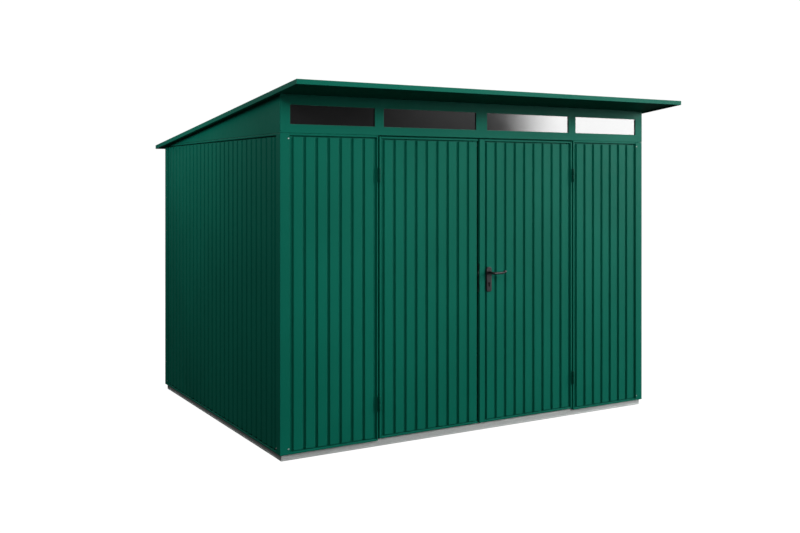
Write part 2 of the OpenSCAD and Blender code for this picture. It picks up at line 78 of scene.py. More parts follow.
BASE_BAR, BEARER_W, BEARER_N = 0.060, 0.040, 5
HINGE_H, BARREL_R, PIN_R, HINGE_GAP, WING_T = 0.090, 0.007, 0.0035, 0.011, 0.0025
PLATE_W, PLATE_H, PLATE_OVER, PLATE_T, PLATE_R = 0.042, 0.166, 0.036, 0.009, 0.014
GRIP_LEN, GRIP_OUT, RETURN_LEN, LEVER_R, SPINDLE_R = 0.110, 0.042, 0.024, 0.0085, 0.005
KEYHOLE_BELOW, CYLINDER_R, FOOT_W, CYLINDER_H = 0.072, 0.0085, 0.010, 0.033

# ---------------------------------------------------------------- finer sizes of the finished pieces
BEND = 0.0024
EDGE = 0.0009
SOFT_EDGE = 0.0026
RECESS = 0.017
FILLER_H = 0.012
SCREW_IN, SCREW_LOW = 0.055, 0.033
CAP_W = 0.012
DIP, LIFT = 0.004, 0.0035
SEAL_T = 0.0056
FOREND_W, FOREND_T, FOREND_IN, LATCH_OUT = 0.018, 0.0012, 0.0155, 0.0065
SMOOTH_BELOW = math.radians(33)

# The roof falls from the eave so that its trim's lower corner meets the height that the frame gives at the rear
ROOF_FALL = Z_ROOF - ROOF_LOW.z
ROOF_A = math.atan2(ROOF_FALL, Y_REAR - Y_EAVE) - math.asin(TRIM_H / math.hypot(ROOF_FALL, Y_REAR - Y_EAVE))


def roof_z(y, under=0.0):
    """Height of a plane that lies the given depth under the roof's top surface."""
    return Z_ROOF - math.tan(ROOF_A) * (y - Y_EAVE) - under / math.cos(ROOF_A)


# ---------------------------------------------------------------- shapes: (points, [face arrays])
ORDER = {"x": [2, 0, 1], "y": [0, 2, 1], "z": [0, 1, 2]}


def grid_quads(rows, columns, closed):
    """Quads between the points of a grid that is stored row by row; closed joins each row's end to its start."""
    low = np.arange(rows - 1)[:, None] * columns
    here = np.arange(columns if closed else columns - 1)
    there = (here + 1) % columns
    quads = np.stack([low + here, low + there, low + columns + there, low + columns + here], -1)
    return quads.reshape(-1, 4)


def merge(*shapes):
    """One shape from several; the faces of each are counted on from the points before it."""
    starts = np.cumsum([0] + [len(points) for points, _ in shapes])
    faces = [group + start for start, (_, groups) in zip(starts, shapes) for group in groups]
    return np.concatenate([points for points, _ in shapes]), faces


def moved(shape, offset=(0, 0, 0), axes=np.eye(3)):
    """The shape with its x, y and z laid along the three rows of axes, then shifted."""
    points, groups = shape
    return points @ np.asarray(axes, float) + np.asarray(offset, float), groups


def copies(shape, offsets, axes=np.eye(3)):
    """The same shape at every offset, as one array."""
    points, groups = moved(shape, axes=axes)
    offsets = np.asarray(offsets, float).reshape(-1, 3)
    starts = np.arange(len(offsets)) * len(points)
    faces = [(group[None] + starts[:, None, None]).reshape(-1, group.shape[1]) for group in groups]
    return (points[None] + offsets[:, None]).reshape(-1, 3), faces


def fold(line, radius, closed=False, steps=4):
    """Rounds the corners of a line of [a, b] points. Each corner is cut back by radius / tan(half its angle),
    at most 45 % of its shorter side, and an arc that touches both sides joins the cuts."""
    line = np.asarray(line, float)
    corner = line if closed else line[1:-1]
    before = np.roll(line, 1, 0) if closed else line[:-2]
    after = np.roll(line, -1, 0) if closed else line[2:]
    to_before, to_after = before - corner, after - corner
    reach = np.linalg.norm([to_before, to_after], axis=-1)
    a, b = to_before / reach[0][:, None], to_after / reach[1][:, None]
    half = np.arccos(np.clip((a * b).sum(1), -1, 1)) / 2
    cut = np.minimum(radius / np.tan(half), 0.45 * reach.min(0))[:, None]
    middle = corner + (a + b) / np.linalg.norm(a + b, axis=1, keepdims=True) * cut / np.cos(half)[:, None]
    sweep = (math.pi - 2 * half)[:, None, None]
    t = np.linspace(0, 1, steps + 1)[None, :, None]
    start, end = (corner + a * cut - middle)[:, None], (corner + b * cut - middle)[:, None]
    arc = (np.sin((1 - t) * sweep) * start + np.sin(t * sweep) * end) / np.sin(sweep) + middle[:, None]
    arc = arc.reshape(-1, 2)
    return arc if closed else np.vstack([line[:1], arc, line[-1:]])


def thicken(line, thickness):
    """A ring round a folded sheet: the line, then the line set off to its left by the thickness, run backwards."""
    step = np.diff(line, axis=0)
    left = np.stack([-step[:, 1], step[:, 0]], 1) / np.linalg.norm(step, axis=1, keepdims=True)
    first, second = np.vstack([left[:1], left]), np.vstack([left, left[-1:]])
    across = (first + second) / (1 + (first * second).sum(1, keepdims=True))
    return np.vstack([line, (line + thickness * across)[::-1]])


def bar(ring, low, high, along="z", sheet=False, rows=2):
    """A bar of constant section: the ring's two coordinates lie across the bar in x, y, z order, and it runs
    from low to high. A sheet's ends are closed by quads between its two faces, any other bar's by one face."""
    ring = np.asarray(ring, float)
    n = len(ring)
    levels = np.linspace(low, high, rows)
    points = np.concatenate([np.tile(ring, (rows, 1)), np.repeat(levels, n)[:, None]], 1)[:, ORDER[along]]
    if sheet:
        i = np.arange(n // 2 - 1)
        cap = np.stack([i, i + 1, n - 2 - i, n - 1 - i], -1)
    else:
        cap = np.arange(n)[None]
    return points, [grid_quads(rows, n, True), cap[:, ::-1], cap + (rows - 1) * n]


def block(low, high):
    """A box from its lowest to its highest corner."""
    (x0, y0, z0), (x1, y1, z1) = low, high
    return bar([[x0, y0], [x1, y0], [x1, y1], [x0, y1]], z0, z1)


def turned(profile, sides=24, phase=0.0):
    """A turned piece: a profile of [radius, height] points carried round the z axis, closed at both ends."""
    profile = np.asarray(profile, float)
    angle = phase + np.arange(sides) * 2 * math.pi / sides
    round_about = np.stack([np.cos(angle), np.sin(angle)], 1)
    flat = profile[:, None, :1] * round_about[None]
    height = np.broadcast_to(profile[:, None, 1:], (len(profile), sides, 1))
    ends = np.arange(sides)[None]
    faces = [grid_quads(len(profile), sides, True), ends[:, ::-1], ends + (len(profile) - 1) * sides]
    return np.concatenate([flat, height], 2).reshape(-1, 3), faces


def tube(path, widths, heights, side, sides=24):
    """A bar of oval section along a path: at each station the oval's one axis is the given side direction
    and its other axis stands square to both the side and the path."""
    path, side = np.asarray(path, float), np.asarray(side, float)
    forward = np.gradient(path, axis=0)
    forward /= np.linalg.norm(forward, axis=1, keepdims=True)
    other = np.cross(forward, side)
    angle = np.arange(sides) * 2 * math.pi / sides
    across = np.cos(angle)[None, :, None] * side * np.asarray(heights)[:, None, None]
    out = np.sin(angle)[None, :, None] * other[:, None] * np.asarray(widths)[:, None, None]
    ends = np.arange(sides)[None]
    faces = [grid_quads(len(path), sides, True), ends[:, ::-1], ends + (len(path) - 1) * sides]
    return (path[:, None] + across + out).reshape(-1, 3), faces


def pierced_plate(xs, zs, open_cells, depth):
    """A plate on a grid of x and z lines, less its open cells: front and back faces for each cell that is kept,
    and a wall wherever a kept cell has no kept neighbour."""
    xs, zs = np.asarray(xs, float), np.asarray(zs, float)
    kept = np.ones((len(xs) - 1, len(zs) - 1), bool)
    kept[tuple(np.transpose(open_cells))] = False
    x, z = np.meshgrid(xs, zs, indexing="ij")
    front = np.stack([x, np.zeros_like(x), z], -1).reshape(-1, 3)
    index = np.arange(len(front)).reshape(x.shape)
    back = len(front)
    a, b, c, d = index[:-1, :-1], index[1:, :-1], index[1:, 1:], index[:-1, 1:]
    ring = np.stack([a, b, c, d], -1)
    around = np.pad(kept, 1)
    sides = [(a, b, around[1:-1, :-2]), (b, c, around[2:, 1:-1]),
             (c, d, around[1:-1, 2:]), (d, a, around[:-2, 1:-1])]
    walls = [np.stack([q, p, p + back, q + back], -1)[kept & ~beside] for p, q, beside in sides]
    return np.vstack([front, front + [0, depth, 0]]), [ring[kept], ring[kept][:, ::-1] + back, *walls]


def rounded_box(width, height, radius, steps=6):
    """Outline of a rectangle about 0 with rounded corners."""
    x, z = width / 2, height / 2
    return fold([[-x, -z], [x, -z], [x, z], [-x, z]], radius, closed=True, steps=steps)


# ---------------------------------------------------------------- places on the walls, the doors and the roof
WALLS = {
    "front": ((-X_WALL, Y_FRONT, 0), [[1, 0, 0], [0, 1, 0], [0, 0, 1]]),
    "right": ((X_WALL, Y_FRONT, 0), [[0, 1, 0], [-1, 0, 0], [0, 0, 1]]),
    "back": ((X_WALL, Y_BACK, 0), [[-1, 0, 0], [0, -1, 0], [0, 0, 1]]),
    "left": ((-X_WALL, Y_BACK, 0), [[0, -1, 0], [1, 0, 0], [0, 0, 1]]),
}
LEAVES = {
    "left": ((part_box("left_door_frame")[0].x, Y_FRONT, 0), [[1, 0, 0], [0, 1, 0], [0, 0, 1]]),
    "right": ((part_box("right_door_frame")[1].x, Y_FRONT, 0), [[-1, 0, 0], [0, 1, 0], [0, 0, 1]]),
}
ROOF_AXES = [
    [1, 0, 0],
    [0, math.cos(ROOF_A), -math.sin(ROOF_A)],
    [0, math.sin(ROOF_A), math.cos(ROOF_A)],
]


def on_wall(side, shape):
    """Places a shape whose x runs along a wall, y goes inwards from its face and z stands up."""
    return moved(shape, *WALLS[side])


def on_leaf(side, shape):
    """Places a shape whose x runs from a leaf's hinge edge, y goes inwards from its face and z stands up."""
    return moved(shape, *LEAVES[side])


def on_roof(shape):
    """Places a shape whose y runs down the slope from the eave and z stands square to the roof."""
    return moved(shape, (0, Y_EAVE, Z_ROOF), ROOF_AXES)


# ---------------------------------------------------------------- pieces
def clean(mesh):
    """Merges doubled points and turns every face outwards."""
    work = bmesh.new()
    work.from_mesh(mesh)
    bmesh.ops.remove_doubles(work, verts=work.verts, dist=1e-6)
    bmesh.ops.recalc_face_normals(work, faces=work.faces)
    work.to_mesh(mesh)
    work.free()


def piece(name, shape, finish, nodes=(), body="shed", edge=0.0):
    """Makes an object from a shape, rounds its edges, ties it to its body and hides
    the nodes it stands for."""
    points, groups = shape
    mesh = bpy.data.meshes.new(name)
    mesh.from_pydata(points.tolist(), [], [face for group in groups for face in group.tolist()])
    clean(mesh)
    mesh.shade_smooth()
    mesh.set_sharp_from_angle(angle=SMOOTH_BELOW)
    thing = bpy.data.objects.new(name, mesh)
    bpy.context.scene.collection.objects.link(thing)
    material, slot = finish
    mesh.materials.append(material)
    if edge:
        bevel = thing.modifiers.new("edges", "BEVEL")
        bevel.width, bevel.segments = edge, 3 if edge > 0.002 else 2
        bevel.limit_method, bevel.angle_limit = "ANGLE", SMOOTH_BELOW
        bevel.harden_normals = True
    else:
        flat = thing.modifiers.new("flats", "WEIGHTED_NORMAL")
        flat.keep_sharp = True
    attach(thing, body)
    if nodes:
        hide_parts(*nodes)
    return thing


# ---------------------------------------------------------------- materials
def new_material(name):
    material = bpy.data.materials.new(name)
    material.use_nodes = True
    tree = material.node_tree
    return material, tree, tree.nodes["Principled BSDF"]


def add(tree, kind, inputs=None, **settings):
    """Adds a node. Inputs are given by name or number, as values or as sockets to link."""
    made = tree.nodes.new("ShaderNode" + kind)
    for key, value in settings.items():
        setattr(made, key, value)
    for key, value in (inputs or {}).items():
        if isinstance(value, bpy.types.NodeSocket):
            tree.links.new(value, made.inputs[key])
        else:
            made.inputs[key].default_value = value
    return made


def noise(tree, vector, scale, detail=2.0, rough=0.5):
    settings = {"Vector": vector, "Scale": scale, "Detail": detail, "Roughness": rough}
    return add(tree, "TexNoise", settings).outputs[0]


def stretch(tree, value, low, high, to_low=0.0, to_high=1.0):
    """Maps low..high onto to_low..to_high, held at both ends."""
    return add(tree, "MapRange", {0: value, 1: low, 2: high, 3: to_low, 4: to_high}).outputs[0]


def blend_colour(tree, factor, a, b, how="MIX"):
    return add(tree, "Mix", {0: factor, 6: a, 7: b}, data_type="RGBA", blend_type=how).outputs[2]


def edge_mask(tree, radius, samples=4):
    """1 where the surface turns a corner within the radius, 0 on flats: how far the rounded normal leans away."""
    rounded = add(tree, "Bevel", {"Radius": radius}, samples=samples).outputs[0]
    real = add(tree, "NewGeometry").outputs["Normal"]
    lean = add(tree, "VectorMath", {0: rounded, 1: real}, operation="DOT_PRODUCT").outputs["Value"]
    return stretch(tree, lean, 0.995, 0.86)


def powder_coat(name, deep, pale, paler_rim, gloss=0.46):
    """Satin powder coat: a cloudy tone, fine specks, a soft orange-peel skin, panels that are never quite flat,
    and edges painted paler: partly a thinner coat, partly a painted highlight along rims and lips."""
    material, tree, shader = new_material(name)
    place = add(tree, "TexCoord").outputs["Object"]
    cloud = stretch(tree, noise(tree, place, 1.7, 3.0), 0.35, 0.65)
    speck = stretch(tree, noise(tree, place, 900.0, 1.0), 0.3, 0.7)
    tone = blend_colour(tree, cloud, deep, pale)
    fine = blend_colour(tree, stretch(tree, speck, 0.0, 1.0, 0.0, 0.10), tone, paler_rim)
    # Painted highlight: rims and lips are mixed toward the paler colour, partly for a thinner, rubbed coat and
    # partly to stand in for the lamps' glint on rounded edges.
    rim_unevenness = stretch(tree, noise(tree, place, 35.0, 4.0), 0.4, 0.7)
    edge = add(tree, "Math", {0: edge_mask(tree, 0.0024), 1: stretch(tree, rim_unevenness, 0.0, 1.0, 0.45, 1.0)},
               operation="MULTIPLY").outputs[0]
    colour = blend_colour(tree, stretch(tree, edge, 0.0, 1.0, 0.0, 0.75), fine, paler_rim)
    tree.links.new(colour, shader.inputs["Base Color"])
    streaks = noise(tree, place, 22.0, 4.0)
    rough = stretch(tree, streaks, 0.3, 0.7, gloss - 0.05, gloss + 0.06)
    tree.links.new(rough, shader.inputs["Roughness"])
    peel = add(tree, "Bump", {"Strength": 0.10, "Distance": 0.0002, "Height": noise(tree, place, 420.0, 2.0)})
    waves = add(tree, "Bump", {"Strength": 0.25, "Distance": 0.004, "Height": noise(tree, place, 3.2, 1.0),
                               "Normal": peel.outputs[0]})
    tree.links.new(waves.outputs[0], shader.inputs["Normal"])
    shader.inputs["Specular IOR Level"].default_value = 0.045
    return material


def galvanised(name, dark, light, gloss=0.42, metal=0.85):
    """Hot-dip zinc: crystal cells a few millimetres wide that differ in tone and gloss, with a dull bloom."""
    material, tree, shader = new_material(name)
    place = add(tree, "TexCoord").outputs["Object"]
    bent = add(tree, "VectorMath", {0: place, 1: noise(tree, place, 60.0)}, operation="ADD").outputs[0]
    cells = add(tree, "TexVoronoi", {"Vector": bent, "Scale": 110.0}).outputs["Color"]
    flake = add(tree, "SeparateColor", {0: cells}).outputs[0]
    bloom = stretch(tree, noise(tree, place, 9.0, 4.0), 0.35, 0.7)
    tone = blend_colour(tree, flake, dark, light)
    dull = blend_colour(tree, stretch(tree, bloom, 0.0, 1.0, 0.0, 0.35), tone, dark)
    edge = stretch(tree, edge_mask(tree, 0.0014), 0.0, 1.0, 0.0, 0.4)
    colour = blend_colour(tree, edge, dull, light)
    tree.links.new(colour, shader.inputs["Base Color"])
    tree.links.new(stretch(tree, flake, 0.0, 1.0, gloss - 0.06, gloss + 0.1), shader.inputs["Roughness"])
    bump = add(tree, "Bump", {"Strength": 0.12, "Distance": 0.0003, "Height": noise(tree, place, 260.0, 3.0)})
    tree.links.new(bump.outputs[0], shader.inputs["Normal"])
    shader.inputs["Metallic"].default_value = metal
    return material


def moulded(name, dark, light, gloss=0.34):
    """Black moulded plastic: a fine grain in the skin and slightly paler rims."""
    material, tree, shader = new_material(name)
    place = add(tree, "TexCoord").outputs["Object"]
    grain = noise(tree, place, 1400.0, 2.0)
    edge = edge_mask(tree, 0.0012)
    tone = stretch(tree, noise(tree, place, 45.0, 3.0), 0.3, 0.7, 0.0, 0.4)
    paler_rim = stretch(tree, edge, 0.0, 1.0, 0.0, 0.7)
    colour = blend_colour(tree, paler_rim, blend_colour(tree, tone, dark, light), light)
    tree.links.new(colour, shader.inputs["Base Color"])
    tree.links.new(stretch(tree, grain, 0.3, 0.7, gloss - 0.05, gloss + 0.08), shader.inputs["Roughness"])
    bump = add(tree, "Bump", {"Strength": 0.15, "Distance": 0.0001, "Height": grain})
    tree.links.new(bump.outputs[0], shader.inputs["Normal"])
    return material


def satin_metal(name, dark, light, gloss=0.28):
    """Brushed nickel or zinc-plated steel: hair-fine scratches that follow no one direction for long."""
    material, tree, shader = new_material(name)
    place = add(tree, "TexCoord").outputs["Object"]
    drawn = add(tree, "Mapping", {0: place, "Scale": (1.0, 1.0, 14.0)}).outputs[0]
    hair = noise(tree, drawn, 320.0, 4.0)
    tree.links.new(blend_colour(tree, hair, dark, light), shader.inputs["Base Color"])
    tree.links.new(stretch(tree, hair, 0.3, 0.7, gloss - 0.05, gloss + 0.1), shader.inputs["Roughness"])
    bump = add(tree, "Bump", {"Strength": 0.1, "Distance": 0.0001, "Height": hair})
    tree.links.new(bump.outputs[0], shader.inputs["Normal"])
    shader.inputs["Metallic"].default_value = 1.0
    return material


def smoked_pane(name, tint, gloss=0.05):
    """Dark glazing: a deep tint, a faint haze in its gloss and the slightest wave in its face."""
    material, tree, shader = new_material(name)
    place = add(tree, "TexCoord").outputs["Object"]
    haze = noise(tree, place, 14.0, 3.0)
    tree.links.new(stretch(tree, haze, 0.3, 0.7, gloss, gloss + 0.03), shader.inputs["Roughness"])
    colour = blend_colour(tree, stretch(tree, haze, 0.3, 0.7), tint, [c * 1.25 for c in tint[:3]] + [1])
    tree.links.new(colour, shader.inputs["Base Color"])
    wave = add(tree, "Bump", {"Strength": 0.05, "Distance": 0.002, "Height": noise(tree, place, 5.0, 1.0)})
    tree.links.new(wave.outputs[0], shader.inputs["Normal"])
    shader.inputs["IOR"].default_value = 1.7
    shader.inputs["Transmission Weight"].default_value = 0.35
    return material


# Deep and pale coat tones, then the paler colour that the specks use and that paints the highlight on rims and
# lips.
COAT = (0.0005, 0.122, 0.080, 1), (0.001, 0.136, 0.090, 1), (0.035, 0.24, 0.175, 1)
GREEN = (powder_coat("green_frame_coat", *COAT),
         "green_frame")
SHEET = (powder_coat("green_sheet_coat", *COAT),
         "green_sheet")
HINGE = (powder_coat("green_hinge_enamel", (0.0005, 0.060, 0.040, 1), (0.001, 0.072, 0.049, 1),
                     (0.02, 0.16, 0.11, 1), 0.38), "green_frame")
ZINC = (galvanised("galvanised_steel", (0.46, 0.485, 0.475, 1), (0.62, 0.65, 0.64, 1), metal=0.35), "zinc")
BLACK = (moulded("black_plastic", (0.010, 0.0075, 0.009, 1), (0.026, 0.023, 0.025, 1)), "black_plastic")
DARK = (satin_metal("blackened_steel", (0.012, 0.010, 0.010, 1), (0.028, 0.024, 0.024, 1)), "lock_metal")
NICKEL = (satin_metal("satin_nickel", (0.40, 0.39, 0.37, 1), (0.62, 0.61, 0.58, 1)), "lock_metal")
PANE = (smoked_pane("smoked_pane", (0.012, 0.012, 0.0125, 1)), "tinted_pane")


# ---------------------------------------------------------------- fasteners
def pan_head(radius=0.0045, height=0.0022):
    """A pan-head screw seen from outside: a low dome with a round recess, standing on z = 0."""
    return turned([[radius, 0], [radius, height * 0.45], [radius * 0.8, height * 0.85], [radius * 0.45, height],
                   [radius * 0.32, height], [radius * 0.28, height * 0.45]], sides=12)


def hex_head(radius=0.0042, height=0.0042):
    """A roofing screw: a flanged washer under a six-sided head."""
    washer = turned([[0.0075, 0], [0.0075, 0.0007], [0.0052, 0.0016], [0.001, 0.0017]], sides=14)
    head = turned([[radius, 0.001], [radius, height - 0.0006], [radius * 0.82, height]], sides=6)
    return merge(washer, head)


OUT = [[1, 0, 0], [0, 0, 1], [0, -1, 0]]
INSIDE = [[1, 0, 0], [0, 0, 1], [0, 1, 0]]


def wall_screws(places, depth=0.0):
    """Pan heads on a wall's face at (along, height) places; their axes point outwards."""
    return copies(pan_head(), [[x, depth, z] for x, z in places], OUT)


# ---------------------------------------------------------------- profiled sheets
def even_grooves(length, strip):
    """Middles of the grooves of a sheet that is symmetrical about its own middle."""
    k = np.arange(-math.ceil(length / RIB_PITCH), math.ceil(length / RIB_PITCH) + 1)
    middles = length / 2 + (k + 0.5) * RIB_PITCH
    return middles[(middles - GROOVE > strip) & (middles + GROOVE < length - strip)]


def run_grooves(length, strip):
    """Middles of the grooves of a sheet whose first rib starts at the strip."""
    middles = strip + np.arange(1, math.ceil(length / RIB_PITCH) + 2) * RIB_PITCH - GROOVE / 2
    return middles[middles + GROOVE < length]


def rib_line(length, first, last, middles, depth):
    """The outer line of a profiled sheet: flat strips in the grooves' plane at both ends, ribs at 0 from first to
    last, and a groove round each middle."""
    steps = np.array([-GROOVE / 2, -GROOVE / 2 + SLOPE, GROOVE / 2 - SLOPE, GROOVE / 2])
    along = (middles[:, None] + steps).ravel()
    inward = np.tile([0, depth, depth, 0], len(middles))
    start = [[FIT, depth], [first - SLOPE, depth], [first, 0]]
    end = [[last, 0], [last + SLOPE, depth], [length - FIT, depth]]
    return np.vstack([start, np.column_stack([along, inward]), end])


def ribbed_sheet(x0, length, z0, z1, first, last, middles):
    """A profiled wall sheet with rounded bends, upright in its wall's frame."""
    line = fold(rib_line(length, first, last, middles, RIB_D), BEND)
    return moved(bar(thicken(line, SHEET_T), z0, z1, sheet=True), (x0, SHEET_SET, 0))


def rib_fillers(x0, length, z0, z1, first, last, middles):
    """Foam strips in the ribs' ends, behind a sheet: the sheet's back line, set off once more, is the near side,
    and the plane of the rails' flanges is the far side."""
    line = rib_line(length, first, last, middles, RIB_D)
    near = thicken(line, SHEET_T + 0.0004)[:len(line) - 1:-1]
    near = near[(near[:, 0] > first) & (near[:, 0] < last)]
    far = np.column_stack([near[:, 0], np.full(len(near), RECESS - SHEET_SET - 0.0003)])
    ring = np.vstack([near, far[::-1]])
    ends = (z0 + 0.001, z0 + 0.001 + FILLER_H), (z1 - 0.001 - FILLER_H, z1 - 0.001)
    return moved(merge(*[bar(ring, a, b, sheet=True) for a, b in ends]), (x0, SHEET_SET, 0))


def wall_sheets():
    fillers = []
    low, high = SHEET_LOW.z, SHEET_HIGH.z
    bay = SHEET_HIGH.x - SHEET_LOW.x + 2 * FIT
    runs = {
        "front_left": ("front", POST_W, bay),
        "front_right": ("front", WALL_W - POST_W - bay, bay),
        "left_wall": ("left", POST_D, WALL_D - 2 * POST_D),
        "right_wall": ("right", POST_D, WALL_D - 2 * POST_D),
        "back_wall": ("back", POST_W, WALL_W - 2 * POST_W),
    }
    for name, (side, x0, length) in runs.items():
        middles = even_grooves(length, EDGE_STRIP)
        size = x0, length, low, high, EDGE_STRIP, length - EDGE_STRIP, middles
        piece(f"{name}_cladding", on_wall(side, ribbed_sheet(*size)), SHEET, [f"{name}_sheet"])
        fillers.append(on_wall(side, rib_fillers(*size)))
    piece("wall_rib_fillers", merge(*fillers), BLACK)


# ---------------------------------------------------------------- frame of the walls
def corner_posts():
    """L-shaped posts with flanges that reach behind the sheets."""
    for name, side, a, b in (("front_left", "front", POST_W, POST_D), ("front_right", "right", POST_D, POST_W),
                             ("back_right", "back", POST_W, POST_D), ("back_left", "left", POST_D, POST_W)):
        ring = [[0, 0], [a, 0], [a, SEAT], [a + FLANGE, SEAT], [a + FLANGE, FRAME_T], [FRAME_T, FRAME_T],
                [FRAME_T, b + FLANGE], [SEAT, b + FLANGE], [SEAT, b], [0, b]]
        post = bar(ring, Z_BASE, Z_HEAD - 0.0006)
        piece(f"{name}_corner_post", on_wall(side, post), GREEN, [f"{name}_post"], edge=SOFT_EDGE)


def rail(x0, x1, z0, z1, flange_low, flange_high, set0, set1):
    """A rail between posts: its lip shows in the wall's face, and its flange reaches behind the sheet."""
    lip = block((x0 + 0.0002, 0.0004, z0), (x1 - 0.0002, RECESS - 0.0001, z1))
    flange = block((x0 + set0, RECESS, flange_low), (x1 - set1, FRAME_T, flange_high))
    return merge(lip, flange)


def wall_rails():
    bay = SHEET_HIGH.x - SHEET_LOW.x + 2 * FIT
    inner = JAMB_W - JAMB_LIP
    runs = {
        "front": ("front", [(POST_W, POST_W + bay, FLANGE, inner),
                            (WALL_W - POST_W - bay, WALL_W - POST_W, inner, FLANGE)]),
        "left": ("left", [(POST_D, WALL_D - POST_D, FLANGE, FLANGE)]),
        "right": ("right", [(POST_D, WALL_D - POST_D, FLANGE, FLANGE)]),
        "back": ("back", [(POST_W, WALL_W - POST_W, FLANGE, FLANGE)]),
    }
    sill, head = Z_BASE + BOTTOM_LIP, Z_HEAD - TOP_LIP
    for name, (side, spans) in runs.items():
        ending = "rails" if name == "front" else "rail"
        low = [rail(a, b, Z_BASE, sill, Z_BASE, sill + RAIL_GAP + FLANGE, s, t) for a, b, s, t in spans]
        high = [rail(a, b, head, Z_HEAD - 0.0006, head - RAIL_GAP - FLANGE, Z_HEAD - 0.0006, s, t)
                for a, b, s, t in spans]
        piece(f"{name}_sill_rail", on_wall(side, merge(*low)), GREEN, [f"{name}_bottom_{ending}"], edge=SOFT_EDGE)
        piece(f"{name}_head_rail", on_wall(side, merge(*high)), GREEN, [f"{name}_top_{ending}"], edge=SOFT_EDGE)


def door_jambs():
    stop = FRAME_T + STOP_GAP
    ring = np.array([[-JAMB_LIP, 0], [0, 0], [0, stop], [STOP_W, stop], [STOP_W, stop + STOP_T],
                     [-JAMB_W, stop + STOP_T], [-JAMB_W, SEAT], [-JAMB_LIP, SEAT]])
    jamb = moved(bar(ring, Z_BASE, Z_HEAD - 0.0006), (-DOORWAY_X, Y_FRONT, 0))
    piece("left_jamb_post", jamb, GREEN, ["left_door_jamb"], edge=SOFT_EDGE)
    piece("right_jamb_post", moved(jamb, axes=np.diag([-1, 1, 1])), GREEN, ["right_door_jamb"], edge=SOFT_EDGE)


def door_head():
    low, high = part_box("door_head")
    stop_y = Y_FRONT + FRAME_T + STOP_GAP
    beam = block((low.x, low.y, Z_HEAD), high)
    stop = block((-DOORWAY_X + STOP_W, stop_y, low.z), (DOORWAY_X - STOP_W, high.y, Z_HEAD - 0.0002))
    piece("door_head_beam", merge(beam, stop), GREEN, ["door_head"], edge=EDGE)


def corner_screws():
    """Pan heads beside the inner edge of every post, above the base and, in front and behind, under the head."""
    for side, length in (("front", WALL_W), ("right", WALL_D), ("back", WALL_W), ("left", WALL_D)):
        heights = (Z_BASE + SCREW_LOW, Z_HEAD - SCREW_LOW) if length == WALL_W else (Z_BASE + SCREW_LOW,)
        spots = [(x, z) for x in (SCREW_IN, length - SCREW_IN) for z in heights]
        piece(f"{side}_post_screws", on_wall(side, wall_screws(spots)), ZINC)


def corner_caps():
    """Folded strips that cover the joint between fascia and gables, each with a screw at its foot."""
    top = roof_z(Y_FRONT, SOFFIT_DROP + SOFFIT_T) - 0.0008
    ring = thicken(fold([[CAP_W, -0.0002], [-0.0002, -0.0002], [-0.0002, CAP_W]], 0.003), -0.0009)
    strip = bar(ring, Z_HEAD + 0.0012, top, sheet=True)
    screw = copies(pan_head(0.0038, 0.0018), [[CAP_W / 2, -0.0011, Z_HEAD + 0.013]], OUT)
    left = on_wall("front", merge(strip, screw))
    piece("corner_cover_strips", merge(left, moved(left, axes=np.diag([-1, 1, 1]))), GREEN)


# ---------------------------------------------------------------- base and floor
def base_ring():
    """Galvanised base: folded bars with a shallow bead near the lower edge, and cross bearers under the floor."""
    low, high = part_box("base_frame")
    top = high.z
    step = np.array([[0.0012, 0.0], [0.0004, 0.0012], [0.0004, 0.0075], [0.0018, 0.0085], [0.0018, 0.0098],
                     [0.0, 0.0108], [0.0, top - 0.0022], [0.0022, top], [BASE_BAR, top], [BASE_BAR, 0.0]])
    width, depth = high.x - low.x, high.y - low.y
    front = moved(bar(step, low.x, high.x, "x"), (0, low.y, 0))
    back = moved(front, (0, low.y + high.y, 0), np.diag([1, -1, 1]))
    side_run = bar(step, low.y + BASE_BAR, high.y - BASE_BAR, "y")
    left = moved(side_run, (low.x, 0, 0))
    right = moved(left, axes=np.diag([-1, 1, 1]))
    gap = (width - 2 * BASE_BAR - BEARER_W) / (BEARER_N + 1)
    bearer = block((0, low.y + BASE_BAR, 0), (BEARER_W, low.y + depth - BASE_BAR, top))
    bearers = copies(bearer, [[low.x + BASE_BAR + i * gap, 0, 0] for i in range(1, BEARER_N + 1)])
    piece("base_channel", merge(front, back, left, right, bearers), ZINC, ["base_frame"], edge=0.0006)


def floor_sheets(count=6):
    """The floor: galvanised sheets side by side with hairline joints, notched round the jambs and screwed down."""
    low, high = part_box("floor_panel")
    notch_y = Y_FRONT + FRAME_T + STOP_GAP + STOP_T + 0.001
    xs = np.linspace(low.x, high.x, count + 1)
    panels = []
    for a, b in zip(xs[:-1], xs[1:]):
        panels.append(block((a + 0.0004, notch_y, low.z), (b - 0.0004, high.y, high.z)))
    inner, outer = DOORWAY_X - STOP_W - 0.001, DOORWAY_X + JAMB_W + 0.001
    for a, b in ((low.x, -outer), (-inner, inner), (outer, high.x)):
        panels.append(block((a, low.y, low.z), (b, notch_y - 0.0004, high.z)))
    rows = np.linspace(notch_y + 0.04, high.y - 0.04, 6)
    spots = [[x + s * 0.02, y, high.z - 0.0004] for x in xs[1:-1] for s in (-1, 1) for y in rows]
    heads = copies(turned([[0.005, 0], [0.0048, 0.0005], [0.0016, 0.0005], [0.0012, 0.0001]], 12), spots)
    piece("floor_sheets", merge(*panels, heads), ZINC, ["floor_panel"], edge=0.0005)


def threshold_strip():
    low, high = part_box("threshold")
    strip = block(low, (high.x, high.y, high.z))
    piece("threshold_strip", strip, ZINC, ["threshold"], edge=0.0009)


# ---------------------------------------------------------------- fascia, windows and gables
def window_spans():
    """Left and right ends of the four windows, from the panes and the lap behind the fascia."""
    points = np.array([v.co for v in frame["nodes"]["window_panes"].data.vertices])
    ends = np.unique(points[:, 0].round(5))
    return [(a + PANE_LAP, b - PANE_LAP) for a, b in zip(ends[0::2], ends[1::2])]


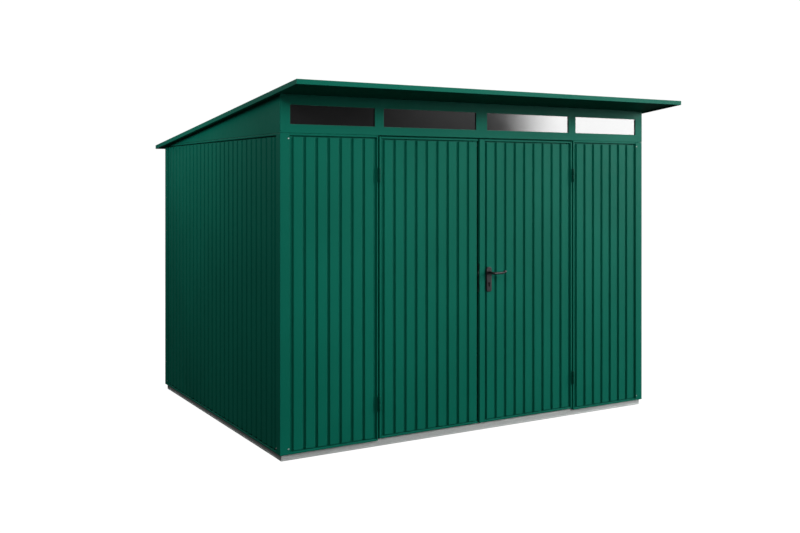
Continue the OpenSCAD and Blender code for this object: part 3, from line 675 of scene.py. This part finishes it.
def fascia():
    """The fascia is one plate with four windows cut through it."""
    low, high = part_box("window_band")
    sill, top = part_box("window_panes")[0].z + PANE_LAP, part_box("window_panes")[1].z - PANE_LAP
    xs = [low.x, *(x for span in window_spans() for x in span), high.x]
    zs = [low.z + 0.0006, sill, top, high.z - 0.0015]
    plate = pierced_plate(xs, zs, [(i, 1) for i in (1, 3, 5, 7)], BAND_T)
    piece("fascia_plate", moved(plate, (0, low.y, 0)), GREEN, ["window_band"], edge=0.0012)


def glazing():
    """Four dark panes, each with a thin black seal that closes the joint to the fascia."""
    low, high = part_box("window_panes")
    sill, top = low.z + PANE_LAP, high.z - PANE_LAP
    panes, seals = [], []
    for a, b in window_spans():
        panes.append(block((a - PANE_LAP, low.y, low.z), (b + PANE_LAP, high.y, high.z)))
        lip = pierced_plate([a - 0.0002, a + 0.0011, b - 0.0011, b + 0.0002],
                            [sill - 0.0002, sill + 0.0011, top - 0.0011, top + 0.0002], [(1, 1)], SEAL_T)
        seals.append(moved(lip, (0, low.y - SEAL_T, 0)))
    piece("window_glazing", merge(*panes), PANE, ["window_panes"], edge=0.0005)
    piece("window_seals", merge(*seals), BLACK)


def gables():
    low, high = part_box("left_gable")
    top_front, top_back = roof_z(low.y, ROOF_BUILD + 0.001), roof_z(high.y, ROOF_BUILD + 0.001)
    ring = [[low.y + 0.0003, Z_HEAD + 0.0006], [high.y, Z_HEAD + 0.0006], [high.y, max(top_back, Z_HEAD + 0.001)],
            [low.y + 0.0003, top_front]]
    plate = bar(ring, low.x, high.x, "x")
    piece("left_gable_plate", plate, GREEN, ["left_gable"], edge=EDGE)
    piece("right_gable_plate", moved(plate, axes=np.diag([-1, 1, 1])), GREEN, ["right_gable"], edge=EDGE)


# ---------------------------------------------------------------- roof
def roof_cladding():
    """The roof sheet, with its ribs up and its grooves running down the slope."""
    width = 2 * (X_ROOF - TRIM_T)
    strip = EDGE_STRIP + TRIM_TOP
    line = fold(rib_line(width, strip, width - strip, even_grooves(width, strip), ROOF_RIB_D), BEND)
    ring = thicken(line, SHEET_T)
    ring = np.column_stack([ring[:, 0] - width / 2, -(TRIM_T + FIT) - ring[:, 1]])
    start = (TRIM_T + FIT + ROOF_BUILD * math.sin(ROOF_A)) / math.cos(ROOF_A)
    end = (Y_REAR - Y_EAVE) / math.cos(ROOF_A) - 0.0005
    piece("roof_cladding", on_roof(bar(ring, start, end, "y", sheet=True)), SHEET, ["roof_sheet"])


def purlin_rows():
    """Distance of each purlin down the slope from the eave."""
    over = Y_FRONT - Y_EAVE
    return [(over + WALL_D * i / (PURLIN_N + 1)) / math.cos(ROOF_A) for i in range(1, PURLIN_N + 1)]


def purlins():
    """Galvanised channels under the roof sheet, from gable to gable."""
    top, x = -ROOF_BUILD, X_WALL - BAND_T
    t = PURLIN_T
    ring = np.array([[0, top], [PURLIN_W, top], [PURLIN_W, top - t], [t, top - t], [t, top - PURLIN_H + t],
                     [PURLIN_W, top - PURLIN_H + t], [PURLIN_W, top - PURLIN_H], [0, top - PURLIN_H]])
    bars = copies(bar(ring, -x, x, "x"), [[0, y, 0] for y in purlin_rows()])
    piece("roof_purlin_channels", on_roof(bars), ZINC, ["roof_purlins"], edge=0.0006)


def roof_screws():
    """Roofing screws on every second rib over each purlin and along both ends of the sheet."""
    width = 2 * (X_ROOF - TRIM_T)
    strip = EDGE_STRIP + TRIM_TOP
    grooves = even_grooves(width, strip) - width / 2
    ribs = (grooves[:-1:2] + grooves[1::2]) / 2
    rows = [y + PURLIN_W / 2 for y in purlin_rows()]
    rows = [0.075, *rows, (Y_BACK - Y_EAVE) / math.cos(ROOF_A)]
    spots = [[x, y, -TRIM_T - FIT] for y in rows for x in ribs]
    low = hex_head(height=0.0032)
    low = (low[0] * [0.8, 0.8, 0.7], low[1])
    piece("roof_sheet_screws", on_roof(copies(low, spots)), GREEN)


def channel_trim(lines):
    """A trim folded from sheet: the line across it, thickened inwards."""
    return thicken(fold(lines, 0.0016, steps=3), TRIM_T * 0.6)


def roof_trims():
    """Edge trims: channels with an upright face and two flanges, mitred where they meet at the corners."""
    eave = [[Y_EAVE + TRIM_TOP, roof_z(Y_EAVE + TRIM_TOP)], [Y_EAVE, roof_z(Y_EAVE)],
            [Y_EAVE, roof_z(Y_EAVE, TRIM_H)], [Y_EAVE + TRIM_UNDER, roof_z(Y_EAVE + TRIM_UNDER, TRIM_H)]]
    rear = [[Y_REAR - TRIM_UNDER, roof_z(Y_REAR - TRIM_UNDER, TRIM_H)], [Y_REAR, roof_z(Y_REAR, TRIM_H)],
            [Y_REAR, roof_z(Y_REAR, ROOF_BUILD)]]
    for name, line, face, node in (("eave_trim", eave, Y_EAVE, "front_roof_trim"),
                                   ("rear_trim", rear, Y_REAR, "back_roof_trim")):
        points, faces = bar(channel_trim(line), -1.0, 1.0, "x", sheet=True)
        points[:, 0] *= X_ROOF - 0.0002 - np.abs(points[:, 1] - face)
        piece(name, (points, faces), GREEN, [node])
    side = [[-X_ROOF + TRIM_TOP, 0], [-X_ROOF, 0], [-X_ROOF, -TRIM_H], [-X_ROOF + TRIM_UNDER, -TRIM_H]]
    length = (Y_REAR - Y_EAVE) / math.cos(ROOF_A)
    points, faces = bar(channel_trim(side), 0.0, length, "y", sheet=True)
    inward = points[:, 0] + X_ROOF
    front_end, low = points[:, 1] < length / 2, points[:, 2] < -TRIM_H / 2
    mitre = np.where(front_end, inward, np.where(low, -inward, 0.0))
    points[:, 1] += mitre - points[:, 2] * math.tan(ROOF_A)
    left = on_roof((points, faces))
    piece("left_verge_trim", left, GREEN, ["left_roof_trim"])
    piece("right_verge_trim", moved(left, axes=np.diag([-1, 1, 1])), GREEN, ["right_roof_trim"])


def soffit_boards():
    """The soffit: a board in front, one on each side and one behind, mitred by hairline joints."""
    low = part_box("soffit")[0]
    top, bottom = -SOFFIT_DROP, -SOFFIT_DROP - SOFFIT_T
    c, lift = math.cos(ROOF_A), (SOFFIT_DROP + SOFFIT_T) * math.sin(ROOF_A)
    y0 = (TRIM_T + FIT + lift) / c
    y1 = (Y_REAR - Y_EAVE - TRIM_T - FIT) / c
    front, back = (Y_FRONT - Y_EAVE - FIT) / c, (Y_BACK - Y_EAVE + FIT + lift) / c
    x, inner, gap = -low.x, X_WALL + FIT, 0.0004
    boards = [block((-x, y0, bottom), (x, front, top)), block((-x, back, bottom), (x, y1, top)),
              block((-x, front + gap, bottom), (-inner, back - gap, top)),
              block((inner, front + gap, bottom), (x, back - gap, top))]
    piece("soffit_boards", on_roof(merge(*boards)), GREEN, ["soffit"], edge=0.0005)


# ---------------------------------------------------------------- doors
def leaf_size(side):
    low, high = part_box(f"{side}_door_frame")
    return high.x - low.x, low.z, high.z


def door_frame(side, meet_lip):
    """A leaf's frame of four members: a shallow lip that shows and a flange behind the sheet."""
    width, z0, z1 = leaf_size(side)
    back, joint = LEAF_LIP + FLANGE, 0.00015
    meet = max(meet_lip, back)
    ring = [[0, 0], [LEAF_LIP, 0], [LEAF_LIP, SEAT], [back, SEAT], [back, FRAME_T], [0, FRAME_T]]
    hinge_stile = bar(ring, z0, z1)
    if meet_lip:
        section = [[width - meet_lip, 0], [width, 0], [width, FRAME_T], [width - meet_lip, FRAME_T]]
    else:
        section = [[width - back, SEAT], [width, SEAT], [width, FRAME_T], [width - back, FRAME_T]]
    members = [hinge_stile, bar(section, z0, z1)]
    ends = (z0, z0 + LEAF_LIP, z0, z0 + back), (z1 - LEAF_LIP, z1, z1 - back, z1)
    for low, high, flange_low, flange_high in ends:
        members.append(block((LEAF_LIP + joint, 0.0002, low), (width - meet_lip - joint, RECESS - 0.0001, high)))
        members.append(block((back + joint, RECESS, flange_low), (width - meet - joint, FRAME_T, flange_high)))
    frame_shape = on_leaf(side, merge(*members))
    piece(f"{side}_leaf_frame", frame_shape, GREEN, [f"{side}_door_frame"], f"{side}_door", SOFT_EDGE)


def door_sheet(side, meet_lip):
    room = leaf_size(side)[0] - LEAF_LIP - meet_lip
    middles = run_grooves(room, LEAF_STRIP)
    last = min(middles[-1] + RIB_PITCH, room) - GROOVE / 2
    low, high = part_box(f"{side}_door_sheet")
    size = LEAF_LIP, room, low.z, high.z, LEAF_STRIP, last, middles
    sheet = on_leaf(side, ribbed_sheet(*size))
    piece(f"{side}_leaf_cladding", sheet, SHEET, [f"{side}_door_sheet"], f"{side}_door")
    piece(f"{side}_leaf_rib_fillers", on_leaf(side, rib_fillers(*size)), BLACK, body=f"{side}_door")


def hinge_heights():
    """Heights of the middles of the lower and the upper hinge."""
    points = np.array([v.co for v in frame["nodes"]["left_door_hinges"].data.vertices])
    levels = np.sort(points[:, 2])
    split = np.argmax(np.diff(levels))
    return [(levels[0] + levels[split]) / 2, (levels[split + 1] + levels[-1]) / 2]


def barrel(low, high):
    """A turned hinge barrel with rounded rims."""
    r, e = BARREL_R, 0.0009
    return turned([[r - 2 * e, low], [r - 0.3 * e, low + 0.3 * e], [r, low + e], [r, high - e],
                   [r - 0.3 * e, high - 0.3 * e], [r - 2 * e, high]], sides=32)


def pin_cap(z, up):
    """The domed head of a hinge pin."""
    profile = [[0.0048, z], [0.0046, z + up * 0.0008], [0.003, z + up * 0.0018], [0.0008, z + up * 0.0021]]
    return turned(profile, 20)


def hinge_halves():
    """The two halves of one hinge about its own axis: lower barrel with the pin on the jamb, upper one on the
    leaf, each with a wing that goes back beside its edge."""
    half, gap, out = HINGE_H / 2, HINGE_GAP / 2, BARREL_R + 0.001
    jamb = merge(barrel(-half, -0.0005), pin_cap(-half, -1),
                 turned([[PIN_R, -0.001], [PIN_R, half - 0.004], [PIN_R * 0.7, half - 0.003]], 20),
                 block((-gap, 0.001, -half + 0.001), (-gap + WING_T, out, -0.001)),
                 block((-gap, out, -half), (-gap + WING_T, out + FRAME_T, half)))
    leaf = merge(barrel(0.0005, half), pin_cap(half, 1),
                 block((gap - WING_T, 0.001, 0.001), (gap, out, half - 0.001)),
                 block((gap - WING_T, out, -half), (gap, out + FRAME_T, half)))
    return jamb, leaf


def hinges():
    jamb, leaf = hinge_halves()
    at = [[HINGE_AT.x, HINGE_AT.y, z] for z in hinge_heights()]
    mirror = np.diag([-1, 1, 1])
    left_jamb = copies(jamb, at)
    both = merge(left_jamb, moved(left_jamb, axes=mirror))
    piece("hinge_jamb_halves", both, HINGE, ["jamb_hinges"], edge=0.0004)
    left_leaf = copies(leaf, at)
    piece("left_hinge_halves", left_leaf, HINGE, ["left_door_hinges"], "left_door", 0.0004)
    right_leaf = moved(left_leaf, axes=mirror)
    piece("right_hinge_halves", right_leaf, HINGE, ["right_door_hinges"], "right_door", 0.0004)


# ---------------------------------------------------------------- lock and handle
def profile_outline(steps=28):
    """Outline of a profile cylinder about its plug: an arc of its radius that ends in a straight foot."""
    foot_z = CYLINDER_R - CYLINDER_H
    half = math.asin(FOOT_W / 2 / CYLINDER_R)
    angle = np.linspace(-math.pi / 2 + half, 3 * math.pi / 2 - half, steps)
    arc = np.stack([np.cos(angle), np.sin(angle)], 1) * CYLINDER_R
    foot = fold([arc[-1], [-FOOT_W / 2, foot_z], [FOOT_W / 2, foot_z], arc[0]], 0.0042, steps=6)
    return np.vstack([arc, foot[1:-1]])


def plate_with_hole(outline, hole, thickness, crown):
    """A plate with a rounded rim and a hole: rings that run from the hole's outline to the plate's, both taken
    at the same directions, then down the rim and back underneath."""
    angle = np.linspace(0, 2 * math.pi, 96, endpoint=False)

    def at(line):
        way = np.unwrap(np.arctan2(line[:, 1], line[:, 0]))
        way, ring = way - 2 * math.pi * np.floor(way[0] / (2 * math.pi)), line
        way = np.concatenate([way - 2 * math.pi, way, way + 2 * math.pi])
        ring = np.vstack([ring, ring, ring])
        return np.stack([np.interp(angle, way, ring[:, k]) for k in (0, 1)], 1)

    inner, outer = at(hole), at(outline)
    t = np.linspace(0, math.pi / 2, 5)
    inward = -outer / np.linalg.norm(outer, axis=1, keepdims=True)
    rim = [(outer + inward * crown * (1 - math.cos(a)), thickness - crown + crown * math.sin(a)) for a in t]
    rings = [(inner, 0.0), (outer, 0.0), *rim, (inner, thickness)]
    points = np.vstack([np.column_stack([flat, np.full(len(angle), z)]) for flat, z in rings])
    n, k = len(angle), len(rings)
    closing = np.stack([np.arange(n), (np.arange(n) + 1) % n], 1)
    last = np.column_stack([closing[:, ::-1], closing + (k - 1) * n])
    return points, [grid_quads(k, n, True), last]


def handle_plates():
    """Two long plates with rounded rims, pierced for the cylinder, each with a raised collar round the neck."""
    outline = rounded_box(PLATE_W, PLATE_H, PLATE_R, 8)
    key = -KEYHOLE_BELOW
    middle = PLATE_OVER - PLATE_H / 2
    hole = profile_outline() * 1.04
    rim = moved((np.column_stack([outline, np.zeros(len(outline))]), []), (0, middle - key, 0))[0][:, :2]
    plate = plate_with_hole(rim, hole, PLATE_T, 0.0035)
    plate = moved(plate, (0, key, 0))
    collar = turned([[0.0142, PLATE_T - 0.001], [0.0142, PLATE_T + 0.0012], [0.0132, PLATE_T + 0.002],
                     [0.0095, PLATE_T + 0.002], [0.0095, PLATE_T - 0.001]], 40)
    face = merge(plate, collar)
    x, z = LEVER_AT.x, LEVER_AT.z
    outer = moved(face, (x, Y_FRONT + SHEET_SET, z), OUT)
    inner = moved(face, (x, Y_FRONT + FRAME_T, z), INSIDE)
    piece("handle_back_plates", merge(outer, inner), BLACK, ["handle_plates"], "right_door")


def lever_bar(sign):
    """One lever: it leaves the plate square, bends to run level, carries a ringed grip and turns back to the
    door. It is a tube on a path with rounded corners, whose ends narrow along a quarter circle."""
    out, reach, back = GRIP_OUT, GRIP_LEN, RETURN_LEN
    line = fold([[0, 0], [0, out], [reach, out], [reach, out - back]], 0.013, steps=12)
    leg = np.linalg.norm(np.diff(line, axis=0), axis=1)
    s = np.concatenate([[0], np.cumsum(leg)])
    fine = np.unique(np.concatenate([s, np.linspace(0, s[-1], 90), np.linspace(0.070, 0.080, 12)]))
    path = np.stack([np.interp(fine, s, line[:, k]) for k in (0, 1)], 1)
    ease = [np.clip((fine - a) / b, 0, 1) for a, b in ((0.02, 0.03), (0.112, 0.03))]
    rise = [-DIP, DIP + LIFT] * np.stack([e * e * (3 - 2 * e) for e in ease], 1)
    path = np.column_stack([path[:, 0], sign * path[:, 1], rise.sum(1)])
    end = np.clip((fine[-1] - fine) / 0.006, 0, 1)
    start = np.clip(fine / 0.004, 0, 1)
    swell = 0.86 + 0.14 * np.sqrt(end * (2 - end))
    neck = 0.84 + 0.16 * np.clip((fine - 0.012) / 0.03, 0, 1)
    ring = 1 - 0.10 * np.exp(-((fine - 0.075) / 0.0011) ** 2)
    body = LEVER_R * neck * ring * swell * (0.9 + 0.1 * start)
    close = np.sqrt(np.clip(end * (2 - end), 0.0, 1))
    body = body * np.where(end < 1, 0.12 + 0.88 * close, 1)
    return tube(path, body * 0.92, body, (0, 0, 1), sides=28)


def lever_handle():
    x, z = LEVER_AT.x, LEVER_AT.z
    outer = moved(lever_bar(-1), (x, Y_FRONT + SHEET_SET - PLATE_T - FIT, z))
    inner = moved(lever_bar(1), (x, Y_FRONT + FRAME_T + PLATE_T + FIT, z))
    y0, y1 = Y_FRONT + SHEET_SET - PLATE_T, Y_FRONT + FRAME_T + PLATE_T
    spindle = moved(turned([[SPINDLE_R, 0], [SPINDLE_R, y1 - y0]], 24), (x, y0, z), INSIDE)
    piece("lever_bars", merge(outer, inner, spindle), BLACK, ["lever_handle"], "lever")


def lock_cylinder():
    """A profile cylinder through the leaf, with a round plug at each end and, on each plug, a thin black patch
    that paints the shade of its key slot.
    """
    low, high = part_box("lock_cylinder")
    x, z = LEVER_AT.x, LEVER_AT.z - KEYHOLE_BELOW
    body = moved(bar(profile_outline(), low.y, high.y, "y"), (x, 0, z))
    piece("lock_profile_cylinder", body, DARK, ["lock_cylinder"], "right_door", 0.0005)
    # Painted shade: each key slot is a thin black patch on the plug's face, not a recess.
    slot = rounded_box(0.0026, 0.0095, 0.0011, 3)
    keyway_shade = merge(*[moved(bar(slot, y - 0.0002, y + 0.0002, "y"), (x, 0, z)) for y in (low.y, high.y)])
    piece("lock_keyway_shade", keyway_shade, BLACK, (), "right_door")
    plug = turned([[0.0066, 0], [0.0066, 0.0003], [0.0062, 0.0005], [0.0005, 0.0005]], 32)
    plugs = merge(moved(plug, (x, low.y + 0.0002, z), OUT),
                  moved(plug, (x, high.y - 0.0002, z), INSIDE))
    piece("lock_plugs", plugs, DARK, (), "right_door")


def lock_case():
    """The lock's case behind the stile, and its forend with a bevelled latch in the leaf's meeting edge."""
    low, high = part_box("lock_case")
    piece("lock_case_box", block(low, high), ZINC, ["lock_case"], "right_door", 0.0012)
    edge, middle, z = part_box("right_door_frame")[0].x, Y_FRONT + FOREND_IN, LEVER_AT.z
    half = FOREND_W / 2
    plate = block((edge - FOREND_T, middle - half, low.z), (edge + 0.0005, middle + half, high.z))
    out = edge - FOREND_T - LATCH_OUT
    wedge = [[edge, middle - 0.006], [edge, middle + 0.006], [out, middle + 0.006], [out + 0.004, middle - 0.006]]
    latch = bar(wedge, z - 0.009, z + 0.009)
    piece("lock_forend", merge(plate, latch), NICKEL, (), "right_door", 0.0005)


# ---------------------------------------------------------------- stage
SKY_LOW, SKY_HIGH = 0.035, 0.13


def material_of_stage(name, colour, glow):
    material, _, shader = new_material(name)
    shader.inputs["Base Color"].default_value = (*colour, 1)
    shader.inputs["Roughness"].default_value = 0.9
    shader.inputs["Specular IOR Level"].default_value = 0.1
    shader.inputs["Emission Color"].default_value = (1, 1, 1, 1)
    shader.inputs["Emission Strength"].default_value = glow
    return material


def seen_only_by_camera(thing):
    thing.visible_diffuse = thing.visible_glossy = thing.visible_transmission = False
    thing.visible_volume_scatter = thing.visible_shadow = False


def stage_piece(name, shape, material):
    points, groups = shape
    mesh = bpy.data.meshes.new(name)
    mesh.from_pydata(points.tolist(), [], [face for group in groups for face in group.tolist()])
    mesh.materials.append(material)
    mesh.shade_smooth()
    thing = bpy.data.objects.new(name, mesh)
    bpy.context.scene.collection.objects.link(thing)
    return thing


def studio():
    """A pale floor, a white surround that only the camera sees, and a dim sky that is darker below."""
    floor = stage_piece("studio_floor", turned([[45.0, -0.002], [45.0, -0.0005], [0.01, -0.0005]], 96),
                        material_of_stage("pale_floor", (0.05, 0.05, 0.05), 1.0))
    seen_only_by_camera(floor)
    t = np.linspace(-math.pi / 2 + 0.001, math.pi / 2 - 0.001, 33)
    dome = stage_piece("studio_surround", turned(np.stack([44 * np.cos(t), 44 * np.sin(t)], 1), 64),
                       material_of_stage("white_surround", (0, 0, 0), 1.02))
    seen_only_by_camera(dome)
    world = bpy.data.worlds.new("soft_sky")
    bpy.context.scene.world = world
    world.use_nodes = True
    tree = world.node_tree
    way = add(tree, "TexCoord").outputs["Generated"]
    up = add(tree, "SeparateXYZ", {0: way}).outputs[2]
    shade = stretch(tree, up, -0.12, 0.25, SKY_LOW, SKY_HIGH)
    tree.links.new(shade, tree.nodes["Background"].inputs["Strength"])
    tree.nodes["Background"].inputs["Color"].default_value = (1.0, 1.0, 1.0, 1)


def soft_edges(data, band):
    """Lets a lamp fade to nothing over a band along its four sides."""
    data.use_nodes = True
    tree = data.node_tree
    place = add(tree, "NewGeometry").outputs["Parametric"]
    parts = add(tree, "SeparateXYZ", {0: place})
    fades = []
    for k in (0, 1):
        off = add(tree, "Math", {0: parts.outputs[k], 1: 0.5}, operation="SUBTRACT").outputs[0]
        far = add(tree, "Math", {0: off}, operation="ABSOLUTE").outputs[0]
        fades.append(add(tree, "MapRange", {0: far, 1: 0.5 - band, 2: 0.5, 3: 1.0, 4: 0.0},
                         interpolation_type="SMOOTHSTEP").outputs[0])
    both = add(tree, "Math", {0: fades[0], 1: fades[1]}, operation="MULTIPLY").outputs[0]
    tree.links.new(both, tree.nodes["Emission"].inputs["Strength"])


def softbox(name, azimuth, elevation, distance, size, power, target=(0.0, -0.6, 1.1), band=0.0, mirrored=True):
    """A square lamp that faces the target. Azimuth 0 stands in front of the shed and 90 to its right."""
    a, e = math.radians(azimuth), math.radians(elevation)
    away = Vector((math.sin(a) * math.cos(e), -math.cos(a) * math.cos(e), math.sin(e)))
    data = bpy.data.lights.new(name, "AREA")
    data.shape, data.size, data.size_y, data.energy = "RECTANGLE", size[0], size[1], power
    if band:
        soft_edges(data, band)
    lamp = bpy.data.objects.new(name, data)
    lamp.location = Vector(target) + away * distance
    lamp.rotation_euler = away.to_track_quat("Z", "Y").to_euler()
    lamp.visible_camera = False
    lamp.visible_glossy = mirrored
    bpy.context.scene.collection.objects.link(lamp)
    return lamp


def lights():
    softbox("key_softbox", 52.5, 15, 18.0, (10.4, 10.0), 3900, band=0.16)
    softbox("key_halo", 37, 15, 19.0, (8.5, 9.0), 360, band=0.5)
    softbox("right_fill", 82, 18, 16.0, (9.0, 8.0), 1300)
    softbox("front_fill", 2, 24, 3.0, (2.6, 0.5), 25, (0.35, -1.0, 1.88), mirrored=False)
    softbox("left_fill", -31, 20, 4.6, (1.4, 0.6), 42, (-1.4, 0.3, 2.0))
    softbox("rear_left_sheen", -154, 24, 12.0, (5.0, 4.0), 150)
    softbox("eave_glow", -74, 20, 1.5, (1.0, 0.4), 12, (-1.46, 0.9, 1.85), mirrored=False)
    softbox("rear_fill", 160, 40, 9.0, (4.0, 4.0), 350)


def camera():
    data = bpy.data.cameras.new("camera")
    data.lens, data.sensor_width = 42.44, 36.0
    data.shift_x, data.shift_y = 0.0257, -0.1089
    data.clip_end = 200.0
    thing = bpy.data.objects.new("camera", data)
    thing.location = (-3.7136, -6.1535, 1.674)
    thing.rotation_euler = (math.radians(90.0), 0.0, math.radians(-29.704))
    bpy.context.scene.collection.objects.link(thing)
    bpy.context.scene.camera = thing


camera()
lights()
studio()
bpy.context.scene.view_settings.view_transform = "Standard"

base_ring()
floor_sheets()
threshold_strip()
corner_posts()
wall_rails()
wall_sheets()
door_jambs()
door_head()
corner_screws()
corner_caps()
fascia()
glazing()
gables()
roof_cladding()
purlins()
roof_screws()
roof_trims()
soffit_boards()
door_frame("left", 0.0)
door_frame("right", STILE_W)
door_sheet("left", 0.0)
door_sheet("right", STILE_W)
hinges()
lock_case()
lock_cylinder()
handle_plates()
lever_handle()
